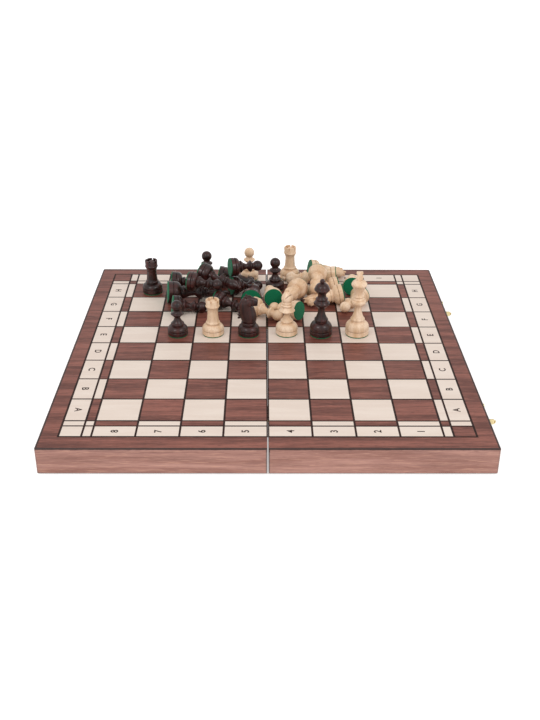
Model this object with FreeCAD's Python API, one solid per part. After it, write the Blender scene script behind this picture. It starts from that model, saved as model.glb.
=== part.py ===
import FreeCAD, Part
import math
import os

# Folding wooden chess board, laid open flat, with its turned playing pieces.
# Millimetres, +Z up, +X towards the right half, +Y towards the back.
# Origin: on the resting plane of the rims, at the middle of the seam.

V = FreeCAD.Vector
UP = V(0, 0, 1)

# ---- the board ----
square = 46.0  # side of one playing square
number_band = 24.0  # outer band that carries the letters and numbers
plain_band = 10.4  # narrow band between the squares and the number band
frame_margin = 20.3  # plain wood outside the bands
seam_gap = 1.7  # open line between the two halves
board_height = 30.0
panel_thick = 4.0
rail_thick = 12.0
lining_thick = 0.8
corner_round = 2.0
edge_bevel = 0.6

# ---- hinges under the seam ----
hinge_y = 120.0  # each side of the middle
hinge_length = 32.0
hinge_knuckles = 5
knuckle_gap = 0.35
knuckle_radius = 1.3
pin_radius = 0.6
pin_press_gap = 0.01
pin_turn_gap = 0.05
axis_drop = 0.2  # the pin line sits this far under the rims, so the closed rims stay apart
leaf_thick = 0.9
leaf_width = 10.0
leaf_inset = 0.15  # how far the leaf is sunk past flush
recess_gap = 0.35  # between a leaf or knuckle and the wood that moves past it
hinge_screws = 3
hinge_screw_radius = 1.0
hinge_screw_head = 2.0
hinge_screw_length = 9.0
hinge_screw_gap = 0.05  # around the shank and head, inside the leaf

# ---- hooks on the right side, studs on the left side ----
hook_y = 138.0  # each side of the middle
hook_pivot_z = 21.0
stud_z = 5.6
hook_off_wall = 0.8
hook_thick = 1.3
hook_half_width = 2.2
eye_radius = 4.2
hook_bore_gap = 0.06
pivot_radius = 1.5
pivot_head_radius = 3.2
pivot_head_thick = 1.4
screw_depth = 8.0
stud_radius = 1.5
stud_head_radius = 2.5
stud_head_thick = 1.0
notch_gap = 0.4
side_gap = 0.4  # along the screw, between the hook and the heads
tab_reach = 8.6
tab_half_height = 3.2

# ---- playing pieces: foot radius and height of each kind ----
felt_thick = 1.0
felt_inset = 0.5
tip_flat = 0.4  # small flat that closes a rounded tip on the axis
pawn_foot, pawn_height = 12.8, 46.8
rook_foot, rook_height = 13.7, 47.5
knight_foot, knight_height = 13.6, 54.5
bishop_foot, bishop_height = 13.9, 62.5
queen_foot, queen_height = 14.1, 76.0
king_foot, king_height = 14.9, 85.2

# ---- clearances between loose pieces ----
stand_gap = 0.05  # under a piece that stands or lies on the panel
pile_gap = 0.6  # between pieces that lie on one another
grid_step = 1.0  # spacing of the height map used to lay one piece on another

field_half = 4 * square + plain_band + number_band
half_width = field_half + frame_margin
half_depth = field_half + frame_margin
x_seam = seam_gap / 2
x_side = x_seam + half_width
panel_bottom = board_height - panel_thick
hook_reach = hook_pivot_z + stud_z + 2 * axis_drop


def box(x0, x1, y0, y1, z0, z1):
    return Part.makeBox(x1 - x0, y1 - y0, z1 - z0, V(x0, y0, z0))


def rod(radius, length, start, direction):
    return Part.makeCylinder(radius, length, start, direction)


def mirrored(shape):
    return shape.mirror(V(0, 0, 0), V(1, 0, 0))


def save(name, *solids):
    shape = solids[0] if len(solids) == 1 else Part.makeCompound(list(solids))
    shape.exportStep("parts/" + name + ".step")
    print(name, len(shape.Solids), "solid(s)")


# ---------------------------------------------------------------- board half

def hinge_screw_places():
    step = hinge_length / hinge_screws
    for sign in (-1, 1):
        for i in range(hinge_screws):
            yield sign * hinge_y + (i - (hinge_screws - 1) / 2) * step


def hinge_room():
    """The wood taken out of the seam rail for one leaf and the barrel, for both hinges."""
    cuts = []
    for sign in (-1, 1):
        y0 = sign * hinge_y - hinge_length / 2
        y1 = y0 + hinge_length
        leaf_top = leaf_inset + leaf_thick
        cuts.append(box(x_seam - 1, leaf_width, y0 - 0.05, y1 + 0.05, -1, leaf_top))
        reach = knuckle_radius + recess_gap
        cuts.append(rod(reach, hinge_length + 2 * recess_gap, V(0, y0 - recess_gap, -axis_drop), V(0, 1, 0)))
    for y in hinge_screw_places():
        start = V((x_seam + leaf_width) / 2 + 1, y, 0)
        cuts.append(rod(hinge_screw_radius, hinge_screw_length, start, UP))
    return Part.makeCompound(cuts)


def board_half(on_left):
    """Panel, four rails and the lining of one half, drawn on the +X side."""
    inner = x_seam + rail_thick
    outer = x_side - rail_thick
    y_in = half_depth - rail_thick
    panel = box(x_seam, x_side, -half_depth, half_depth, panel_bottom, board_height)
    outer_edges = []
    for edge in panel.Edges:
        middle = edge.CenterOfMass
        upright = abs(middle.z - (panel_bottom + board_height) / 2) < 0.01
        if upright and middle.x > x_side - 0.01:
            outer_edges.append(edge)
    panel = panel.makeFillet(corner_round, outer_edges)
    rim = []
    for edge in panel.Edges:
        middle = edge.CenterOfMass
        if abs(middle.z - board_height) < 0.01 and middle.x > x_seam + 0.01:
            rim.append(edge)
    panel = panel.makeChamfer(edge_bevel, rim)
    front = box(x_seam, x_side, -half_depth, -y_in, 0, panel_bottom)
    back = box(x_seam, x_side, y_in, half_depth, 0, panel_bottom)
    side = box(outer, x_side, -y_in, y_in, 0, panel_bottom)
    seam = box(x_seam, inner, -y_in, y_in, 0, panel_bottom)
    front = front.makeFillet(corner_round, corner_edge(front, -half_depth))
    back = back.makeFillet(corner_round, corner_edge(back, half_depth))
    seam = seam.cut(hinge_room())
    for y in (-hook_y, hook_y):
        if on_left:
            hole = rod(stud_radius, screw_depth, V(x_side - screw_depth, y, stud_z), V(1, 0, 0))
        else:
            hole = rod(pivot_radius, screw_depth, V(x_side - screw_depth, y, hook_pivot_z), V(1, 0, 0))
        side = side.cut(hole)
    lining = box(inner, outer, -y_in, y_in, panel_bottom - lining_thick, panel_bottom)
    parts = {
        "panel": panel,
        "front_rail": front,
        "back_rail": back,
        "outer_rail": side,
        "seam_rail": seam,
        "lining": lining,
    }
    name = "left" if on_left else "right"
    for part_name, shape in parts.items():
        save(name + "_" + part_name, mirrored(shape) if on_left else shape)


def corner_edge(rail, y_face):
    found = []
    for edge in rail.Edges:
        middle = edge.CenterOfMass
        upright = abs(middle.z - panel_bottom / 2) < 0.01
        if upright and middle.x > x_side - 0.01 and abs(middle.y - y_face) < 0.01:
            found.append(edge)
    return found


# ---------------------------------------------------------------- hinges

def knuckle_spans(first):
    """Start and end along Y of every second knuckle, beginning with number first."""
    pitch = hinge_length / hinge_knuckles
    for i in range(first, hinge_knuckles, 2):
        yield i * pitch + knuckle_gap / 2, (i + 1) * pitch - knuckle_gap / 2


def hinge_leaf(first, pin_gap):
    """One leaf on the +X side with its knuckles, starting at y = 0."""
    top = leaf_inset + leaf_thick
    clear = knuckle_radius + recess_gap
    leaf = box(clear, leaf_width - 0.1, 0, hinge_length, leaf_inset, top)
    axis_z = -axis_drop
    for y0, y1 in knuckle_spans(first):
        barrel = rod(knuckle_radius, y1 - y0, V(0, y0, axis_z), V(0, 1, 0))
        bridge = box(0, clear + 0.5, y0, y1, leaf_inset, top)
        leaf = leaf.fuse(barrel).fuse(bridge)
    leaf = leaf.cut(rod(pin_radius + pin_gap, hinge_length, V(0, 0, axis_z), V(0, 1, 0)))
    step = hinge_length / hinge_screws
    for i in range(hinge_screws):
        x = (x_seam + leaf_width) / 2 + 1
        y = hinge_length / 2 + (i - (hinge_screws - 1) / 2) * step
        leaf = leaf.cut(rod(hinge_screw_radius, top + 1, V(x, y, -0.5), UP))
        sink = Part.makeCone(hinge_screw_head, hinge_screw_radius, leaf_thick * 0.9, V(x, y, leaf_inset), UP)
        leaf = leaf.cut(sink)
    return leaf.removeSplitter()


def hinges():
    left, right, pins = [], [], []
    for sign in (-1, 1):
        y0 = sign * hinge_y - hinge_length / 2
        right_leaf = hinge_leaf(1, pin_turn_gap)
        right_leaf.translate(V(0, y0, 0))
        left_leaf = mirrored(hinge_leaf(0, pin_press_gap))
        left_leaf.translate(V(0, y0, 0))
        left.append(left_leaf)
        right.append(right_leaf)
        pins.append(rod(pin_radius, hinge_length - 0.4, V(0, y0 + 0.2, -axis_drop), V(0, 1, 0)))
    save("hinge_leaves_left", *left)
    save("hinge_leaves_right", *right)
    save("hinge_pins", *pins)


def hinge_screw_set(on_left):
    screws = []
    x = (x_seam + leaf_width) / 2 + 1
    for y in hinge_screw_places():
        z = leaf_inset + hinge_screw_gap
        head_radius = hinge_screw_head - 3 * hinge_screw_gap
        shank_radius = hinge_screw_radius - hinge_screw_gap
        head = Part.makeCone(head_radius, shank_radius, leaf_thick * 0.9 - hinge_screw_gap, V(x, y, z), UP)
        shank = rod(shank_radius, hinge_screw_length - 1, V(x, y, z), UP)
        screw = head.fuse(shank).removeSplitter()
        screw = screw.cut(box(x - 2.2, x + 2.2, y - 0.25, y + 0.25, z - 1, z + 0.4))
        screws.append(mirrored(screw) if on_left else screw)
    save("hinge_screws_left" if on_left else "hinge_screws_right", *screws)


# ---------------------------------------------------------------- hooks and studs

def hook():
    """Flat brass hook lying along -Y from its eye at the origin, its inner face at x = 0."""
    eye = rod(eye_radius, hook_thick, V(0, 0, 0), V(1, 0, 0))
    arm_end = hook_reach + stud_radius + notch_gap + 2.2
    arm = box(0, hook_thick, -arm_end, 0, -hook_half_width, hook_half_width)
    tip = box(0, hook_thick, -arm_end, -hook_reach + 4.0, -hook_half_width - 1.2, hook_half_width + 0.6)
    blade = eye.fuse(arm).fuse(tip).removeSplitter()
    notch_radius = stud_radius + notch_gap
    notch = rod(notch_radius, 4, V(-1, -hook_reach, 0), V(1, 0, 0))
    way_in = box(-1, 3, -hook_reach - notch_radius, -hook_reach + notch_radius, -6, 0)
    blade = blade.cut(notch).cut(way_in)
    blade = blade.cut(rod(pivot_radius + hook_bore_gap, 4, V(-1, 0, 0), V(1, 0, 0)))
    # the finger tab turns out from the wall in a quarter circle and ends in a small lip
    bend = 2.4
    start = V(0, -arm_end, 0)
    outer = Part.Arc(
        start,
        start + V(bend - bend * math.cos(math.pi / 4), -bend * math.sin(math.pi / 4), 0),
        start + V(bend, -bend, 0),
    ).toShape()
    thin = hook_thick
    inner_start = V(thin, -arm_end, 0)
    r_in = bend - thin
    inner = Part.Arc(
        V(bend, -arm_end - r_in, 0),
        inner_start + V(r_in - r_in * math.cos(math.pi / 4), -r_in * math.sin(math.pi / 4), 0),
        inner_start,
    ).toShape()
    far = V(tab_reach, -arm_end - bend, 0)
    near = V(tab_reach, -arm_end - r_in, 0)
    edges = [
        outer,
        Part.makeLine(V(bend, -arm_end - bend, 0), far),
        Part.makeLine(far, near),
        Part.makeLine(near, V(bend, -arm_end - r_in, 0)),
        inner,
        Part.makeLine(inner_start, start),
    ]
    section = Part.Face(Part.Wire(edges))
    section.translate(V(0, 0, -tab_half_height))
    tab = section.extrude(V(0, 0, 2 * tab_half_height))
    tab = tab.common(rod(tab_half_height, 40, V(tab_reach - tab_half_height, 0, 0), V(0, -1, 0)).fuse(
        box(-1, tab_reach - tab_half_height, -arm_end - 5, 0, -tab_half_height, tab_half_height)))
    lip = rod(hook_thick * 0.8, 2.6, V(tab_reach - 0.4, -arm_end - (bend + r_in) / 2, -1.3), UP)
    return blade.fuse(tab).fuse(lip).removeSplitter()


def hooks_and_studs():
    shape = hook()
    for name, y in (("hook_front", -hook_y), ("hook_back", hook_y)):
        one = shape.copy()
        one.translate(V(x_side + hook_off_wall, y, hook_pivot_z))
        save(name, one)
    screws, studs = [], []
    for y in (-hook_y, hook_y):
        neck = hook_off_wall + hook_thick + side_gap
        start = V(x_side - screw_depth + 0.5, y, hook_pivot_z)
        shank = rod(pivot_radius, screw_depth - 0.5 + neck, start, V(1, 0, 0))
        washer = rod(eye_radius - 0.8, hook_off_wall - side_gap, V(x_side, y, hook_pivot_z), V(1, 0, 0))
        cap_start = V(x_side + neck, y, hook_pivot_z)
        cap = rod(pivot_head_radius, pivot_head_thick, cap_start, V(1, 0, 0))
        rim = [edge for edge in cap.Edges if edge.CenterOfMass.x > cap_start.x + pivot_head_thick - 0.01]
        cap = cap.makeFillet(pivot_head_thick * 0.7, rim)
        slot_x = cap_start.x + pivot_head_thick - 0.5
        slot = box(slot_x, slot_x + 1, y - 4, y + 4, hook_pivot_z - 0.35, hook_pivot_z + 0.35)
        screws.append(shank.fuse(washer).fuse(cap).cut(slot).removeSplitter())
        start = V(x_side - screw_depth + 0.5, y, stud_z)
        shank = rod(stud_radius, screw_depth - 0.5 + neck, start, V(1, 0, 0))
        head = rod(stud_head_radius, stud_head_thick, V(x_side + neck, y, stud_z), V(1, 0, 0))
        rim = [edge for edge in head.Edges if edge.CenterOfMass.x > x_side + neck + stud_head_thick - 0.01]
        head = head.makeFillet(stud_head_thick * 0.6, rim)
        studs.append(mirrored(shank.fuse(head).removeSplitter()))
    save("hook_screws", *screws)
    save("catch_studs", *studs)


# ---------------------------------------------------------------- turned pieces

def turned(steps):
    """Solid of revolution. Each step is (r, z) for a straight line or (r_mid, z_mid, r, z) for an arc."""
    first = steps[0]
    last = V(first[0], 0, first[1])
    edges = [Part.makeLine(V(0, 0, last.z), last)]
    for step in steps[1:]:
        end = V(step[-2], 0, step[-1])
        if len(step) == 2:
            edges.append(Part.makeLine(last, end))
        else:
            edges.append(Part.Arc(last, V(step[0], 0, step[1]), end).toShape())
        last = end
    if last.x > 0.001:
        edges.append(Part.makeLine(last, V(0, 0, last.z)))
    edges.append(Part.makeLine(V(0, 0, edges[-1].Vertexes[-1].Z), V(0, 0, first[1])))
    return Part.Face(Part.Wire(edges)).revolve(V(0, 0, 0), UP, 360)


def base_steps(foot, skirt, skirt_z):
    """Foot ring, groove, the full dome above it and the rim of the skirt, whose widest place is at skirt_z."""
    groove = 0.5 * foot
    dome_top = 0.83 * skirt_z
    full = groove + 0.25 * (dome_top - groove)
    return [
        (foot - 0.6, felt_thick),
        (foot - 0.1, 1.5, foot, 2.4),
        (foot, groove - 1.0),
        (foot - 0.15, groove - 0.5, foot - 0.9, groove - 0.2),
        (foot - 0.9, groove + 0.2),
        (foot - 0.2, groove + 0.5, foot, groove + 1.1),
        (foot, full),
        (0.9 * foot, full + 0.62 * (dome_top - full), 0.66 * foot, dome_top),
        (skirt - 0.9, dome_top + 0.3),
        (skirt - 1.0, skirt_z - 1.4),
        (skirt - 0.1, skirt_z - 0.8, skirt, skirt_z),
        (skirt - 0.2, skirt_z + 0.6, skirt - 0.8, skirt_z + 1.0),
    ]


def ball_steps(radius, top, neck):
    """Two arcs over a ball that ends at the height top, from where it leaves a neck of the given radius."""
    middle = top - radius
    leave_z = middle - math.sqrt(radius ** 2 - neck ** 2)
    return [
        (neck, leave_z),
        (radius * math.cos(0.4), middle - radius * math.sin(0.4), radius, middle),
        (radius * math.cos(0.8), middle + radius * math.sin(0.8), tip_flat, top - 0.01),
    ]


def pawn():
    steps = base_steps(pawn_foot, 8.4, 15.6) + [
        (5.0, 20.0, 3.6, 23.8),
        (3.9, 24.6),
        (7.6, 28.2),
        (8.1, 29.1, 7.6, 29.9),
        (5.3, 31.3),
        (4.6, 32.4),
    ]
    return turned(steps + ball_steps(7.2, pawn_height, 4.6))


def rook():
    top = rook_height
    steps = base_steps(rook_foot, 8.9, 16.6) + [
        (7.6, 18.2),
        (6.9, 25.0, 6.5, 33.4),
        (6.9, 34.6),
        (8.6, 38.4),
        (8.9, 39.1, 8.5, 39.7),
        (8.3, 40.0),
        (8.5, top - 0.6),
        (8.1, top),
        (6.3, top),
        (5.9, top - 3.8),
        (3.4, top - 3.8),
        (3.2, top - 1.6),
        (2.0, top - 0.9, tip_flat, top - 0.7),
    ]
    body = turned(steps)
    for i in range(6):
        notch = box(4.6, 12, -1.1, 1.1, top - 3.2, top + 1)
        notch.rotate(V(0, 0, 0), UP, i * 60 + 20)
        body = body.cut(notch)
    return body


def bishop():
    steps = base_steps(bishop_foot, 8.0, 18.2) + [
        (5.0, 22.4, 3.6, 27.4),
        (3.8, 28.6),
        (9.3, 31.5),
        (10.0, 32.3, 9.4, 33.1),
        (6.7, 37.4),
        (7.4, 38.8),
        (7.8, 39.6, 7.4, 40.4),
        (6.0, 41.5),
        (6.6, 42.3),
        (6.9, 42.9, 6.5, 43.5),
        (5.9, 44.2),
        (7.2, 48.6, 5.0, 54.3),
        (3.8, 56.4, 1.9, 58.3),
    ]
    body = turned(steps + ball_steps(2.4, bishop_height, 1.8))
    slit = Part.makeBox(14, 20, 0.9, V(1.2, -10, -0.45))
    slit.rotate(V(0, 0, 0), V(0, 1, 0), -52)
    slit.translate(V(1.0, 0, bishop_height - 13.5))
    return body.cut(slit)


def queen():
    steps = base_steps(queen_foot, 8.7, 21.6) + [
        (5.4, 28.0, 4.2, 36.4),
        (4.7, 37.6),
        (8.8, 41.2),
        (10.1, 43.6, 9.2, 45.4),
        (6.6, 48.0),
        (7.3, 48.8),
        (7.7, 49.5, 7.2, 50.3),
        (5.6, 51.8),
        (5.2, 54.0, 5.4, 56.6),
        (8.9, 60.8),
        (9.9, 62.4, 9.3, 63.6),
        (7.7, 67.4, 3.4, 70.6),
        (2.4, 70.7),
    ]
    return turned(steps + ball_steps(3.1, queen_height, 2.3))


def king():
    top = king_height
    crown_top = 73.6
    steps = base_steps(king_foot, 9.1, 21.5) + [
        (5.6, 28.6, 4.3, 37.0),
        (4.8, 38.2),
        (8.4, 42.0),
        (9.8, 45.0, 9.4, 46.8),
        (6.9, 47.6),
        (7.1, 48.4, 6.6, 49.4),
        (5.8, 50.6),
        (6.3, 51.6),
        (6.5, 52.4, 6.1, 53.2),
        (5.6, 54.6),
        (6.6, 61.0, 9.3, 66.6),
        (9.9, 68.4, 9.2, 70.2),
        (7.8, 72.2, 2.8, crown_top),
    ]
    body = turned(steps)
    # the finial is a flat cross with a broad head, broad arms and two narrow waists
    thick = 3.4
    post = box(-thick / 2, thick / 2, -2.3, 2.3, crown_top - 1.2, top - 2.0)
    arms = box(-thick / 2, thick / 2, -4.6, 4.6, crown_top + 2.4, crown_top + 6.0)
    head = box(-thick / 2, thick / 2, -4.0, 4.0, top - 3.6, top)
    cross = post.fuse(arms).fuse(head).removeSplitter()
    cross = cross.makeChamfer(0.4, cross.Edges)
    return body.fuse(cross).removeSplitter()


def knight():
    """Turned foot with a horse's head standing on it, muzzle towards +X."""
    foot, top = knight_foot, knight_height
    body = turned(base_steps(foot, 9.4, 16.4) + [(6.0, 18.4)])
    z0 = 17.0
    h = top - z0
    # side outline of the head: chest, throat, jaw, muzzle, brow, ear, crest and back of the neck
    outline = [
        (6.6, 0.00), (8.2, 0.14), (7.0, 0.30), (4.2, 0.43),
        (5.6, 0.52), (9.6, 0.50), (12.2, 0.55), (12.4, 0.66),
        (9.2, 0.78), (6.2, 0.89), (3.6, 1.00), (1.2, 0.93),
        (-4.4, 0.90), (-8.6, 0.74), (-10.0, 0.52), (-9.0, 0.28),
        (-8.0, 0.10), (-7.6, 0.00),
    ]
    points = [V(x, 0, z0 + share * h) for x, share in outline]
    curve = Part.BSplineCurve()
    curve.interpolate(points)
    face = Part.Face(Part.Wire([curve.toShape(), Part.makeLine(points[-1], points[0])]))
    face.translate(V(0, -12, 0))
    head = face.extrude(V(0, 24, 0))
    # seen from the front the neck is thick at the foot and thins towards the ears
    front = [(-7.4, z0), (7.4, z0), (6.6, z0 + 0.4 * h), (4.6, z0 + 0.75 * h), (2.2, top + 0.1)]
    rest = [(-2.2, top + 0.1), (-4.6, z0 + 0.75 * h), (-6.6, z0 + 0.4 * h), (-7.4, z0)]
    ring = Part.makePolygon([V(-20, y, z) for y, z in front + rest])
    wedge = Part.Face(ring).extrude(V(40, 0, 0))
    head = head.common(wedge)
    groove = Part.makeCylinder(1.2, 30, V(6.4, -15, z0 + 0.60 * h), V(0, 1, 0))
    head = head.cut(groove.common(box(-20, 20, 3.4, 20, 0, top).fuse(box(-20, 20, -20, -3.4, 0, top))))
    return body.fuse(head).removeSplitter()


def felt_disc(foot):
    return rod(foot - felt_inset, felt_thick - 0.02, V(0, 0, 0), UP)


MAKERS = {
    "pawn": (pawn, pawn_foot, pawn_height),
    "rook": (rook, rook_foot, rook_height),
    "knight": (knight, knight_foot, knight_height),
    "bishop": (bishop, bishop_foot, bishop_height),
    "queen": (queen, queen_foot, queen_height),
    "king": (king, king_foot, king_height),
}


# ---------------------------------------------------------------- laying the pieces out

def surface_points(shape):
    """Points no more than about one grid step apart all over a shape."""
    corners, triangles = shape.tessellate(0.3)
    points = []
    for a, b, c in triangles:
        pa, pb, pc = corners[a], corners[b], corners[c]
        longest = max((pb - pa).Length, (pc - pa).Length, (pc - pb).Length)
        n = max(1, int(math.ceil(longest / grid_step)))
        for i in range(n + 1):
            for j in range(n + 1 - i):
                points.append(pa + (pb - pa) * (i / n) + (pc - pa) * (j / n))
    return points


def resting_tilt(points, roll):
    """Downward tilt of a piece lying on a flat plane, touching it with its foot and with its head."""
    down = V(math.cos(math.radians(roll)), -math.sin(math.radians(roll)), 0)
    reach = [(p.dot(down), p.z) for p in points]
    foot_reach, foot_z = max((d, z) for d, z in reach if z < 8)
    steepest = 90.0
    for d, z in reach:
        if z > foot_z + 12:
            steepest = min(steepest, math.degrees(math.atan2(foot_reach - d, z - foot_z)))
    return -steepest


heights = {}  # top of what already lies on the board, per grid cell


def cell(x, y):
    return int(math.floor(x / grid_step)), int(math.floor(y / grid_step))


def settle(points, placement):
    """How far the placed piece has to rise to clear the board and every piece under it."""
    lows = {}
    for p in points:
        q = placement.multVec(p)
        key = cell(q.x, q.y)
        if q.z < lows.get(key, 1e9):
            lows[key] = q.z
    rise = -1e9
    for (i, j), low in lows.items():
        ground = board_height + stand_gap
        for di in (-1, 0, 1):
            for dj in (-1, 0, 1):
                top = heights.get((i + di, j + dj))
                if top is not None and top + pile_gap > ground:
                    ground = top + pile_gap
        rise = max(rise, ground - low)
    return rise


def add_to_heights(points, placement):
    for p in points:
        q = placement.multVec(p)
        key = cell(q.x, q.y)
        if q.z > heights.get(key, -1e9):
            heights[key] = q.z


# name: kind, x and y of the foot in squares, heading of the head in degrees from +X,
# tilt of the axis above the level (90 stands up, None lies as it falls), turn about its own axis
STANDING = {
    "dark_pawn_1": ("pawn", -2.46, 0.53, 0),
    "light_rook_1": ("rook", -1.49, 0.57, 0),
    "dark_knight_1": ("knight", -0.51, 0.55, 0),
    "light_bishop_1": ("bishop", 0.54, 0.60, -40),
    "dark_queen": ("queen", 1.48, 0.54, 0),
    "light_king": ("king", 2.48, 0.58, 90),
    "dark_rook_1": ("rook", -3.45, 3.40, 0),
    "dark_pawn_2": ("pawn", -1.84, 4.15, 0),
    "light_pawn_1": ("pawn", -0.54, 4.45, 0),
    "dark_pawn_3": ("pawn", 0.25, 3.62, 0),
    "light_rook_2": ("rook", 0.72, 4.50, 0),
}
LYING = {
    "dark_bishop_1": ("bishop", -2.90, 3.46, 3, None, 0),
    "dark_king": ("king", -2.92, 2.62, 9, None, 0),
    "dark_pawn_4": ("pawn", -2.72, 1.82, 8, None, 0),
    "dark_pawn_5": ("pawn", -1.50, 2.24, -25, None, 0),
    "dark_pawn_6": ("pawn", -1.08, 3.19, 21, None, 0),
    "dark_knight_2": ("knight", -1.48, 3.94, -6, None, 90),
    "dark_rook_2": ("rook", -0.46, 2.14, 86, None, 0),
    "light_pawn_2": ("pawn", 0.19, 2.29, 97, None, 0),
    "light_pawn_3": ("pawn", -0.45, 1.78, -28, None, 0),
    "light_pawn_4": ("pawn", 0.92, 1.42, 146, None, 0),
    "light_knight_1": ("knight", 2.24, 2.58, 186, None, 90),
    "light_pawn_6": ("pawn", 2.80, 2.60, -130, None, 0),
    "light_pawn_7": ("pawn", 2.55, 3.14, 85, None, 0),
    "light_pawn_5": ("pawn", 2.14, 3.22, 188, None, 0),
    "light_knight_2": ("knight", 1.32, 4.46, 8, None, 90),
    "light_queen": ("queen", 2.12, 3.88, 178, None, 0),
    "light_pawn_8": ("pawn", 1.53, 3.42, 262, -12, 0),
    "dark_bishop_2": ("bishop", -1.96, 3.05, -25, -12, 0),
    "dark_pawn_7": ("pawn", -2.28, 2.45, -14, -2, 0),
    "dark_pawn_8": ("pawn", -1.11, 3.25, 16, -3, 0),
    "light_bishop_2": ("bishop", 0.955, 3.00, 249, 6, 0),
}


def playing_pieces():
    made = {}
    for kind, (maker, foot, top) in MAKERS.items():
        wood = maker()
        made[kind] = (wood, felt_disc(foot), surface_points(wood))
    places = {name: (kind, x, y, 0, 90, turn) for name, (kind, x, y, turn) in STANDING.items()}
    places.update(LYING)
    for name, (kind, x, y, heading, tilt, turn) in places.items():
        wood, felt, points = made[kind]
        if tilt is None:
            tilt = resting_tilt(points, turn)
        spin = FreeCAD.Rotation(UP, turn)
        lean = FreeCAD.Rotation(V(0, 1, 0), 90 - tilt)
        turned_to = FreeCAD.Rotation(UP, heading)
        placement = FreeCAD.Placement(V(x * square, y * square, 0), turned_to * lean * spin)
        if tilt == 90:
            placement.Base.z = board_height + stand_gap
        else:
            rise = settle(points, placement)
            placement.Base.z = rise
        add_to_heights(points, placement)
        print(name, "tilt", round(tilt, 1), "foot centre at", [round(v, 1) for v in placement.Base])
        bodies = []
        for shape in (wood, felt):
            one = shape.copy()
            one.Placement = placement.multiply(one.Placement)
            bodies.append(one)
        save(name, *bodies)


os.makedirs("parts", exist_ok=True)
board_half(True)
board_half(False)
hinges()
hinge_screw_set(True)
hinge_screw_set(False)
hooks_and_studs()
playing_pieces()
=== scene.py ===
import math
import random

import bmesh
import bpy
from mathutils import Matrix, Vector


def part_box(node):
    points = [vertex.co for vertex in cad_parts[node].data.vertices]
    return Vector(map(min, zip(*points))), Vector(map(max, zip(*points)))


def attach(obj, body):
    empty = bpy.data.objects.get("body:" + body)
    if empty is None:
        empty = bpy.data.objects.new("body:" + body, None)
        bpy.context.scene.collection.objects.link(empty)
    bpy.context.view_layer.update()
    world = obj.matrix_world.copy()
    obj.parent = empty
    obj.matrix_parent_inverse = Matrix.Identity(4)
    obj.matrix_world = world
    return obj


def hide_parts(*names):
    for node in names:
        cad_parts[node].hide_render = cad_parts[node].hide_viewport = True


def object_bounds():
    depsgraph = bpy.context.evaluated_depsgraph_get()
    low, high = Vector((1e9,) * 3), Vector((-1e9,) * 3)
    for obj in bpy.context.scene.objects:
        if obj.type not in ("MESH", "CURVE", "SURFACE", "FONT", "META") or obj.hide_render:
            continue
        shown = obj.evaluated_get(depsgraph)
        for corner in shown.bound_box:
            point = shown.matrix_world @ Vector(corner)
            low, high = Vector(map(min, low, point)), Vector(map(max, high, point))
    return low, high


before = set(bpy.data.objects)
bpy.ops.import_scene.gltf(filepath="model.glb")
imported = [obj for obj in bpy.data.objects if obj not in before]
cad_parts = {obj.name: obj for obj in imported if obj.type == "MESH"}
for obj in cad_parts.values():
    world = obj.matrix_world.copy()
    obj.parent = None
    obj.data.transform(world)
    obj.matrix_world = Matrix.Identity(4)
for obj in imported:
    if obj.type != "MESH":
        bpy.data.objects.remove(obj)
cadLow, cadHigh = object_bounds()
scene = bpy.context.scene
mm = 0.001
print("frame loaded,", len(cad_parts), "nodes")

panelLow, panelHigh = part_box("right_panel")
seamX, sideX, halfDepth, boardTop = panelLow.x, panelHigh.x, panelHigh.y, panelHigh.z


# ---- node helpers

def startMaterial(name):
    mat = bpy.data.materials.new(name)
    mat.use_nodes = True
    mat.node_tree.nodes.clear()
    out = mat.node_tree.nodes.new("ShaderNodeOutputMaterial")
    bsdf = mat.node_tree.nodes.new("ShaderNodeBsdfPrincipled")
    mat.node_tree.links.new(bsdf.outputs["BSDF"], out.inputs["Surface"])
    return mat, mat.node_tree, bsdf


def setInput(tree, socket, value):
    if isinstance(value, bpy.types.NodeSocket):
        tree.links.new(value, socket)
    else:
        socket.default_value = value


def maths(tree, operation, a, b=0.0, c=0.0):
    node = tree.nodes.new("ShaderNodeMath")
    node.operation = operation
    for i, value in enumerate((a, b, c)):
        setInput(tree, node.inputs[i], value)
    return node.outputs[0]


def stepUp(tree, value, low, high):
    # 0 below low, 1 above high, smooth between
    node = tree.nodes.new("ShaderNodeMapRange")
    node.interpolation_type = "SMOOTHSTEP"
    tree.links.new(value, node.inputs["Value"])
    node.inputs["From Min"].default_value = low
    node.inputs["From Max"].default_value = high
    return node.outputs["Result"]


def stretched(tree, place, scale, offset=(0, 0, 0)):
    node = tree.nodes.new("ShaderNodeMapping")
    tree.links.new(place, node.inputs["Vector"])
    node.inputs["Scale"].default_value = scale
    node.inputs["Location"].default_value = offset
    return node.outputs["Vector"]


def noise(tree, place, scale=1.0, detail=4.0, rough=0.55, distortion=0.0):
    node = tree.nodes.new("ShaderNodeTexNoise")
    tree.links.new(place, node.inputs["Vector"])
    node.inputs["Scale"].default_value = scale
    node.inputs["Detail"].default_value = detail
    node.inputs["Roughness"].default_value = rough
    node.inputs["Distortion"].default_value = distortion
    return node.outputs["Fac"]


def mixColor(tree, share, a, b):
    node = tree.nodes.new("ShaderNodeMix")
    node.data_type = "RGBA"
    setInput(tree, node.inputs[0], share)
    setInput(tree, node.inputs[6], a)
    setInput(tree, node.inputs[7], b)
    return node.outputs[2]


def bump(tree, bsdf, height, strength, distance):
    node = tree.nodes.new("ShaderNodeBump")
    node.inputs["Strength"].default_value = strength
    node.inputs["Distance"].default_value = distance
    tree.links.new(height, node.inputs["Height"])
    tree.links.new(node.outputs["Normal"], bsdf.inputs["Normal"])


def rgb(r, g, b):
    return (r, g, b, 1.0)


grainName = "grainPlace"
burnName = "grooveBurn"

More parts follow.
